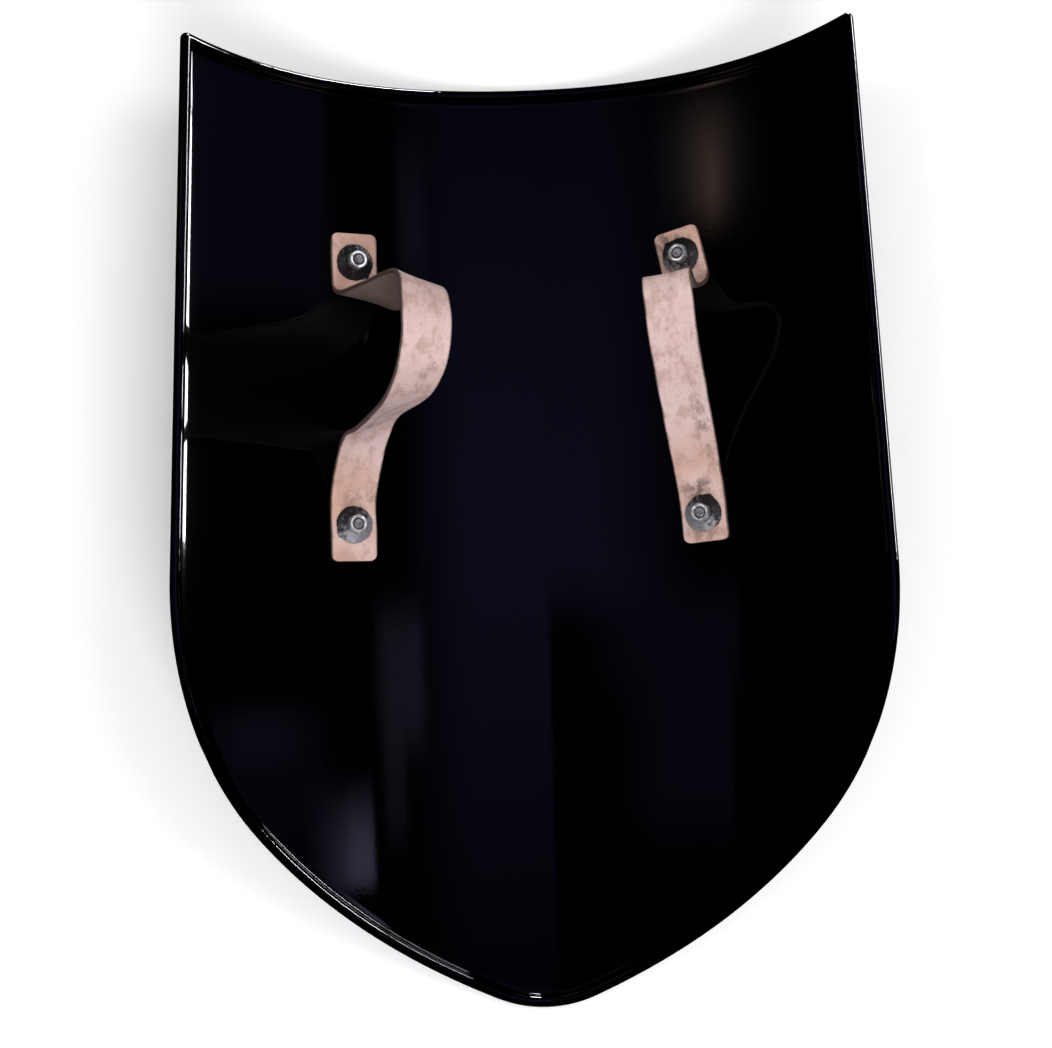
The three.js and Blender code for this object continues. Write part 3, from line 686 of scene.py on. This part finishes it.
class Wire:
    """One socket of a finish, which adds its Math node when it meets an operator."""

    def __init__(self, finish, socket):
        self.finish = finish
        self.socket = socket

    def __add__(self, other):
        return self.finish.maths("ADD", self, other)

    def __sub__(self, other):
        return self.finish.maths("SUBTRACT", self, other)

    def __rsub__(self, other):
        return self.finish.maths("SUBTRACT", other, self)

    def __mul__(self, other):
        return self.finish.maths("MULTIPLY", self, other)

    def __truediv__(self, other):
        return self.finish.maths("DIVIDE", self, other)

    __radd__ = __add__
    __rmul__ = __mul__


class Finish:
    """The nodes of a material, a light or the world, from their coordinates to their output."""

    def __init__(self, owner):
        self.owner = owner
        owner.use_nodes = True
        self.tree = owner.node_tree
        self.tree.nodes.clear()

    def node(self, kind, settings=None, values=None, output=0):
        """Adds a node, with its settings first. Returns the named or numbered output, if any."""
        made = self.tree.nodes.new(kind)
        for key, value in (settings or {}).items():
            setattr(made, key, value)
        for key, value in (values or {}).items():
            if isinstance(value, Wire):
                self.tree.links.new(value.socket, made.inputs[key])
            else:
                made.inputs[key].default_value = value
        return Wire(self, made.outputs[output]) if made.outputs else None

    def maths(self, operation, first, second=0.0):
        return self.node("ShaderNodeMath", {"operation": operation}, {0: first, 1: second})

    def most(self, first, second):
        return self.maths("MAXIMUM", first, second)

    def size(self, value):
        return self.maths("ABSOLUTE", value)

    def ease(self, value, low, high):
        """Rises smoothly from 0 to 1 as the value goes from low to high."""
        return self.node("ShaderNodeMapRange", {"interpolation_type": "SMOOTHSTEP"},
                         {"Value": value, "From Min": low, "From Max": high})

    def blend(self, share, first, second):
        colours = [c if isinstance(c, Wire) else (*c, 1) for c in (first, second)]
        return self.node("ShaderNodeMix", {"data_type": "RGBA"},
                         {0: share, 6: colours[0], 7: colours[1]}, 2)

    def object_place(self):
        return self.node("ShaderNodeTexCoord", output="Object")

    def attribute(self, name, output="Vector"):
        return self.node("ShaderNodeAttribute", {"attribute_name": name}, output=output)

    def stretch(self, place, scale):
        return self.node("ShaderNodeMapping", values={"Vector": place, "Scale": scale})

    def parts(self, place):
        """The three numbers of a place."""
        first = self.node("ShaderNodeSeparateXYZ", values={0: place})
        return [Wire(self, socket) for socket in first.socket.node.outputs]

    def clouds(self, place, scale, detail, roughness=0.5):
        return self.node("ShaderNodeTexNoise", values={
            "Vector": place, "Scale": scale, "Detail": detail, "Roughness": roughness})

    def away(self, place, centre):
        return self.node("ShaderNodeVectorMath", {"operation": "DISTANCE"},
                         {0: place, 1: centre}, "Value")

    def bump(self, height, distance, strength, normal=None):
        values = {"Height": height, "Distance": distance, "Strength": strength}
        if normal:
            values["Normal"] = normal
        return self.node("ShaderNodeBump", values=values)

    def shade(self, colour, values):
        """Closes a material with its one shader. Returns the material."""
        base = colour if isinstance(colour, Wire) else (*colour, 1)
        shader = self.node("ShaderNodeBsdfPrincipled", values={"Base Color": base, **values})
        self.node("ShaderNodeOutputMaterial", values={0: shader})
        return self.owner


# Colours of the finishes, as linear shares of red, green and blue

ENAMEL = (0.0001, 0.0001, 0.0003)
ENAMEL_DUST = (0.02, 0.019, 0.021)
LEATHER_TAB = (0.50, 0.305, 0.24)
# Painted light: the loop's paler tone, where it faces the light
LEATHER_LOOP_LIT = (0.57, 0.405, 0.385)
LEATHER_PALE = (0.6, 0.445, 0.435)
LEATHER_MOTTLE = (0.37, 0.225, 0.185)
LEATHER_FIBRE = (0.36, 0.23, 0.18)
LEATHER_SPECK = (0.16, 0.1, 0.085)
LEATHER_DARK_PATCH = (0.11, 0.075, 0.068)
LEATHER_CUT_EDGE = (0.035, 0.02, 0.016)
FLESH_DARK = (0.15, 0.1, 0.09)
FLESH_PALE = (0.21, 0.15, 0.135)
STEEL_SCALE = (0.035, 0.031, 0.034)
STEEL_LIT_SECTOR = (0.3, 0.285, 0.31)
STEEL_PIT = (0.03, 0.025, 0.026)


def black_enamel():
    """Gloss enamel, near black with a navy cast, over sheet that isn't quite even. Its rolled edge
    is dented."""
    finish = Finish(bpy.data.materials.new("black_enamel"))
    place = finish.object_place()
    from_edge = finish.attribute("from_edge", "Fac")
    sway = finish.clouds(finish.stretch(place, (7, 2, 7)), 1, 1)
    peel = finish.clouds(place, 420, 2)
    dents = finish.clouds(place, 210, 2, 0.6)
    on_bead = 1 - finish.ease(from_edge, 0.005, 0.0075)
    smears = finish.clouds(finish.stretch(place, (9, 3, 9)), 2.2, 4, 0.6)
    smeared = finish.ease(smears, 0.5, 0.72)
    dusty = finish.ease(finish.clouds(place, 14, 2), 0.55, 0.7)
    dust = finish.ease(finish.clouds(place, 900, 1), 0.76, 0.8) * dusty
    normal = finish.bump(sway, 0.0008, 0.5)
    normal = finish.bump(peel, 0.00002, 0.4, normal)
    normal = finish.bump(dents * on_bead, 0.00012, 0.8, normal)
    return finish.shade(finish.blend(dust * 0.2, ENAMEL, ENAMEL_DUST), {
        "Roughness": 0.045 + 0.03 * smeared + 0.2 * dust, "Normal": normal, "IOR": 1.5})


def leather(name, length, dark_patches):
    """Vegetable-tanned strap leather: pale grain side, browner at the tabs, with the loop between
    them painted paler where it faces the light; dark flesh side and edges. Places run along the
    flat strap in metres, from the end of its top tab."""
    finish = Finish(bpy.data.materials.new(name))
    place = finish.attribute("flat_place")
    x, s, t = finish.parts(place)
    fibres = finish.clouds(finish.stretch(place, (900, 260, 900)), 1, 3, 0.6)
    pores = finish.clouds(place, 1500, 2, 0.6)
    mottle = finish.clouds(finish.stretch(place, (1, 0.7, 1)), 120, 4, 0.65)
    patches = finish.clouds(place, 26, 2)
    specks = finish.ease(finish.clouds(place, 480, 2), 0.64, 0.74)
    # Painted light: the loop between the tabs is painted paler, as it faces the light
    loop_lit_share = finish.ease(s, 0.035, 0.09) * (1 - finish.ease(s, length - 0.085, length - 0.045))
    colour = finish.blend(loop_lit_share, LEATHER_TAB, LEATHER_LOOP_LIT)
    colour = finish.blend(finish.ease(patches, 0.4, 0.65) * 0.6, colour, LEATHER_PALE)
    colour = finish.blend(finish.ease(mottle, 0.44, 0.66) * 0.6, colour, LEATHER_MOTTLE)
    colour = finish.blend(finish.ease(fibres, 0.5, 0.75) * 0.3, colour, LEATHER_FIBRE)
    colour = finish.blend(specks * 0.4, colour, LEATHER_SPECK)
    ragged = finish.ease(mottle + 0.3 * (pores - 0.5), 0.42, 0.6)
    for (across, along), (wide, long), shade in dark_patches:
        centre = (across / wide, along / long, 0)
        from_centre = finish.away(finish.stretch(place, (1 / wide, 1 / long, 0)), centre)
        patch_darkening = (1 - finish.ease(from_centre, 0.2, 1)) * ragged
        colour = finish.blend(patch_darkening * shade, colour, LEATHER_DARK_PATCH)
    flesh = 1 - finish.ease(t, -0.0012, -0.0002)
    colour = finish.blend(flesh, colour, finish.blend(mottle, FLESH_DARK, FLESH_PALE))
    edge = finish.ease(finish.size(x) + 0.0012 * (mottle - 0.5), 0.0134, 0.0148)
    colour = finish.blend(edge * 0.9, colour, LEATHER_CUT_EDGE)
    return finish.shade(colour, {
        "Roughness": 0.6 - 0.15 * edge + 0.15 * flesh + 0.15 * (mottle - 0.5),
        "Normal": finish.bump(fibres * 0.5 + pores * 0.5 + mottle, 0.0006, 0.6),
        "Specular IOR Level": 0.3})


def bare_metal(name, base, dull, metallic, roughness, blotch_scale):
    finish = Finish(bpy.data.materials.new(name))
    place = finish.object_place()
    blotches = finish.ease(finish.clouds(place, blotch_scale, 3, 0.6), 0.35, 0.6)
    fine = finish.clouds(place, blotch_scale * 6, 2)
    return finish.shade(finish.blend(blotches, dull, base), {
        "Roughness": roughness + 0.2 * (1 - blotches) + 0.12 * (fine - 0.5),
        "Normal": finish.bump(fine, 0.00006, 0.4), "Metallic": metallic})


def black_steel_lit_side():
    """Black-scaled steel of the washers, with a paler, less metallic sector painted on the side
    that faces the light, and scattered bare patches. The attribute turns that side to its +X."""
    finish = Finish(bpy.data.materials.new("dark_steel"))
    place = finish.attribute("lit_side_place")
    x, _, _ = finish.parts(place)
    scale = finish.clouds(place, 330, 4, 0.65)
    pits = finish.clouds(place, 1100, 2)
    # Painted highlight: a paler, less metallic sector on the lit side of the cone; the scattered
    # patches after it are real bare steel
    painted_lit_sector = finish.ease(x / (WASHER_RADIUS * MM) + 3.2 * (scale - 0.5), 0.0, 1.0)
    lit_and_bare = finish.most(painted_lit_sector, 0.8 * finish.ease(scale, 0.6, 0.7))
    colour = finish.blend(lit_and_bare, STEEL_SCALE, STEEL_LIT_SECTOR)
    colour = finish.blend(finish.ease(pits, 0.58, 0.68) * 0.6, colour, STEEL_PIT)
    return finish.shade(colour, {
        "Roughness": 0.45 + 0.15 * scale, "Metallic": 0.85 - 0.35 * lit_and_bare,
        "Normal": finish.bump(scale * 0.6 + pits * 0.4, 0.0003, 0.6)})


# Camera, floor and light

CAMERA_PLACE = Vector((-8, -62.4, 1004.7)) * MM
CAMERA_TURNS = [(3.74, "X"), (-0.24, "Y"), (-1.81, "Z")]
FOCAL_PIXELS = 1552.3
HALF_FRAME_PIXELS = 526

# How far off the lights in the room stand, in metres, and how many times as far behind the plate's
# gloss as the camera is before it the patches stand
ROOM_REACH = 2.3
MIRROR_REACH = 2


def camera():
    data = bpy.data.cameras.new("photo_view")
    data.sensor_fit = "HORIZONTAL"
    data.angle = 2 * math.atan(HALF_FRAME_PIXELS / FOCAL_PIXELS)
    data.clip_start = 0.01
    data.clip_end = 50
    view = bpy.data.objects.new("photo_view", data)
    view.matrix_world = Matrix.Translation(CAMERA_PLACE)
    for degrees, axis in CAMERA_TURNS:
        view.matrix_world = view.matrix_world @ Matrix.Rotation(math.radians(degrees), 4, axis)
    bpy.context.scene.collection.objects.link(view)
    bpy.context.scene.camera = view


def floor():
    finish = Finish(bpy.data.materials.new("pale_floor"))
    material = finish.shade((0.86, 0.86, 0.86), {"Roughness": 1, "Specular IOR Level": 0})
    bm = bmesh.new()
    bmesh.ops.create_grid(bm, x_segments=1, y_segments=1, size=6)
    mesh = bpy.data.meshes.new("floor")
    bm.to_mesh(mesh)
    bm.free()
    mesh.materials.append(material)
    ground = bpy.data.objects.new("floor", mesh)
    ground.visible_glossy = False
    bpy.context.scene.collection.objects.link(ground)
    return ground


def soft_light(name, place, axes, size, glow, colour, lit):
    """A rectangular light, its size given along the first two of its axes, that shines away from
    the third. Its glow is the brightness of its face, and it lights only one collection."""
    data = bpy.data.lights.new(name, "AREA")
    data.shape = "RECTANGLE"
    data.size, data.size_y = size
    data.energy = glow * math.pi * size[0] * size[1]
    data.color = colour
    lamp = bpy.data.objects.new(name, data)
    lamp.matrix_world = Matrix.Translation(place) @ Matrix(axes).transposed().to_4x4()
    lamp.visible_camera = False
    lamp.light_linking.receiver_collection = lit
    bpy.context.scene.collection.objects.link(lamp)
    return lamp


def room_light(name, azimuth, height, size, glow, colour, lit):
    """A light that faces the shield from a direction in the room, in degrees."""
    azimuth, height = math.radians(azimuth), math.radians(height)
    back = Vector((math.cos(azimuth) * math.cos(height), math.sin(azimuth) * math.cos(height),
                   math.sin(height)))
    level = Vector((-math.sin(azimuth), math.cos(azimuth), 0))
    axes = (level, back.cross(level), back)
    return soft_light(name, back * ROOM_REACH, axes, size, glow, colour, lit)


def mirrored(x, y):
    """The place in the room that the camera sees in the hollow of the plate at x, y. It lies
    MIRROR_REACH times as far from the plate as the camera does."""
    u = CURVE_RADIUS * math.asin(x / CURVE_RADIUS)
    spot = on_plate(u, y + MIDDLE_V, SHEET_THICKNESS) * MM
    off = plate_axes(u)[2]
    ray = spot - CAMERA_PLACE
    return spot + (ray - 2 * ray.dot(off) * off) * MIRROR_REACH


def plate_glow(name, x_span, y_span, fades, glow, colour, lit):
    """A dim light that shows as a patch of the plate's gloss between these places on it, in
    millimetres. It fades over the four distances from its left, right, lower and upper edge."""
    left, right = (mirrored(x, sum(y_span) / 2) for x in x_span)
    low, high = (mirrored(sum(x_span) / 2, y) for y in y_span)
    level, up = (right - left).normalized(), Vector((0, 1, 0))
    if level.cross(up).z < 0:
        level, fades = -level, (fades[1], fades[0], *fades[2:])
    axes = (level, up, level.cross(up))
    size = ((right - left).length, high.y - low.y)
    lamp = soft_light(name, (left + right) / 2, axes, size, glow, colour, lit)
    lamp.visible_diffuse = False
    finish = Finish(lamp.data)
    across, along, _ = finish.parts(finish.node("ShaderNodeNewGeometry", output="Parametric"))
    share = 1
    for place, distance, span in ((across, fades[0], x_span), (1 - across, fades[1], x_span),
                                  (along, fades[2], y_span), (1 - along, fades[3], y_span)):
        share = share * finish.ease(place, 0, distance / (span[1] - span[0]))
    shine = finish.node("ShaderNodeEmission", values={"Strength": share})
    finish.node("ShaderNodeOutputLight", values={0: shine})


NAVY = (0.4, 0.4, 1)
VIOLET = (0.6, 0.6, 1)
WINDOW_BLUE = (0.93, 0.95, 1)

# Each patch of the room seen in the gloss: across and along the plate, how far each edge fades,
# its glow and its colour
PLATE_GLOWS = {
    "wall_left": ((-204, -118), (118, 330), (1, 12, 40, 60), 0.1, NAVY),
    "wall_middle": ((-90, 8.5), (-380, 480), (55, 1, 390, 470), 0.22, NAVY),
    "wall_right": ((7.5, 112), (-70, 480), (1, 75, 45, 470), 0.21, NAVY),
    "wall_low": ((20, 132), (-130, -20), (45, 6, 60, 45), 0.09, NAVY),
    "wall_lower": ((44, 127), (-215, -70), (40, 6, 50, 60), 0.09, NAVY),
    "wall_bottom_left": ((-204, -125), (-215, -95), (10, 20, 50, 30), 0.07, NAVY),
    "strip": ((-84, -56), (128, 292), (8, 14, 60, 90), 0.12, VIOLET),
    "strip_low": ((-104, -68), (-158, -30), (10, 10, 50, 45), 0.24, VIOLET),
    "strip_foot": ((-101, -83), (-212, -110), (5, 6, 40, 40), 0.14, VIOLET),
    "sheen": ((-152, -104), (-228, -142), (38, 4, 14, 62), 0.6, VIOLET),
    "sheen_bright": ((-134, -105), (-226, -158), (20, 4, 14, 44), 0.4, VIOLET),
    "sheen_left": ((-200, -140), (-150, -98), (20, 25, 18, 18), 0.07, VIOLET),
    "halo": ((76, 158), (160, 290), (34, 34, 60, 55), 0.16, (0.95, 0.78, 0.85)),
    "lamp": ((100, 140), (172, 285), (20, 20, 45, 60), 0.42, (1, 0.64, 0.46)),
    "lamp_core": ((114, 130), (178, 255), (8, 8, 38, 38), 0.3, (1, 0.66, 0.48)),
}


# Each bright window seen in the gloss of the rolled edge: azimuth, height, size and glow
WINDOWS = {
    "low_window": (15, 14, (0.9, 0.16), 70),
    "side_window": (36, 13, (0.7, 0.32), 45),
    "back_window": (75, 2.2, (0.75, 0.14), 150),
}


def studio(plate, others):
    """A pale room, dim in the gloss, with three lights on all but the plate, and the windows and
    patches that only the plate sees."""
    world = bpy.data.worlds.new("studio")
    bpy.context.scene.world = world
    sky = Finish(world)
    _, _, height = sky.parts(sky.node("ShaderNodeTexCoord", output="Generated"))
    overhead = 0.3 + 0.5 * sky.ease(height, 0, 0.8)
    pale = sky.node("ShaderNodeBackground", values={"Color": (1, 1, 1, 1), "Strength": overhead})
    dim = sky.node("ShaderNodeBackground", values={"Color": (*NAVY, 1), "Strength": 0.003})
    in_gloss = sky.node("ShaderNodeLightPath", output="Is Glossy Ray")
    both = sky.node("ShaderNodeMixShader", values={0: in_gloss, 1: pale, 2: dim})
    sky.node("ShaderNodeOutputWorld", values={0: both})
    room_light("key", 24, 50, (0.9, 0.9), 5.5, (1, 0.98, 0.97), others)
    room_light("counter", 156, 52, (0.6, 0.6), 7, (1, 0.97, 0.95), others)
    room_light("fill", -75, 48, (1, 1), 8.5, WINDOW_BLUE, others)
    for name, window in WINDOWS.items():
        room_light(name, *window, WINDOW_BLUE, plate).visible_diffuse = False
    for name, glow in PLATE_GLOWS.items():
        plate_glow(name, *glow, plate)
    bpy.context.scene.view_settings.view_transform = "Standard"
    bpy.context.scene.view_settings.look = "None"


def grouped(name, things):
    group = bpy.data.collections.new(name)
    for thing in things:
        group.objects.link(thing)
    return group


camera()
plate = enamel_plate(black_enamel())
rest = [floor()]

# Where the leather is darkened: across and along the strap, how far it reaches each way, and how
# dark it is. The arm patches and the first four hand patches are soiling; the last hand patch
# darkens the lower edge of the bottom tab.
ARM_SMUDGES = [((0.002, 0.215), (0.014, 0.024), 0.22), ((-0.006, 0.28), (0.012, 0.02), 0.3),
               ((0.004, 0.338), (0.018, 0.012), 0.4), ((0.01, 0.03), (0.008, 0.02), 0.4)]
# The last hand patch only makes the lower edge of the bottom tab darker
HAND_DARK_PATCHES = [((0.003, 0.1), (0.014, 0.022), 0.2), ((0.009, 0.2), (0.008, 0.045), 0.45),
                ((0.0, 0.243), (0.018, 0.011), 0.8), ((-0.004, 0.012), (0.018, 0.03), 0.8),
                ((0, 0.274), (0.02, 0.01), 0.5)]
rest.append(leather_strap("arm_leather", STRAPS["arm"], ARM_SMUDGES, 3))
rest.append(leather_strap("hand_leather", STRAPS["hand"], HAND_DARK_PATCHES, 41))

bolt_steel = bare_metal("bolt_steel", (0.2, 0.19, 0.21), (0.12, 0.11, 0.12), 0.7, 0.42, 260)
zinc = bare_metal("zinc_plate", (0.4, 0.4, 0.43), (0.24, 0.24, 0.26), 0.7, 0.3, 200)
dark_steel = black_steel_lit_side()

# How far each washer is turned and the side where its painted lit sector lies, both in radians, and
# how far that painted lit sector reaches
WASHERS = {
    "arm_top": (0.9, 1.2, -0.3), "arm_bottom": (2.6, 5.4, 0.6),
    "hand_top": (4.1, 3.9, 0), "hand_bottom": (5.2, 3.8, 0.5),
}
for strap_name, strap in STRAPS.items():
    for end in ("top", "bottom"):
        where = f"{strap_name}_{end}"
        seat = seat_matrix(strap[end])
        rest.append(carriage_bolt(where, seat, bolt_steel))
        rest.append(dished_washer(where, seat, dark_steel, *WASHERS[where]))
        rest.append(hex_nut(where, seat, zinc))
studio(grouped("plate_only", [plate]), grouped("all_but_plate", rest))
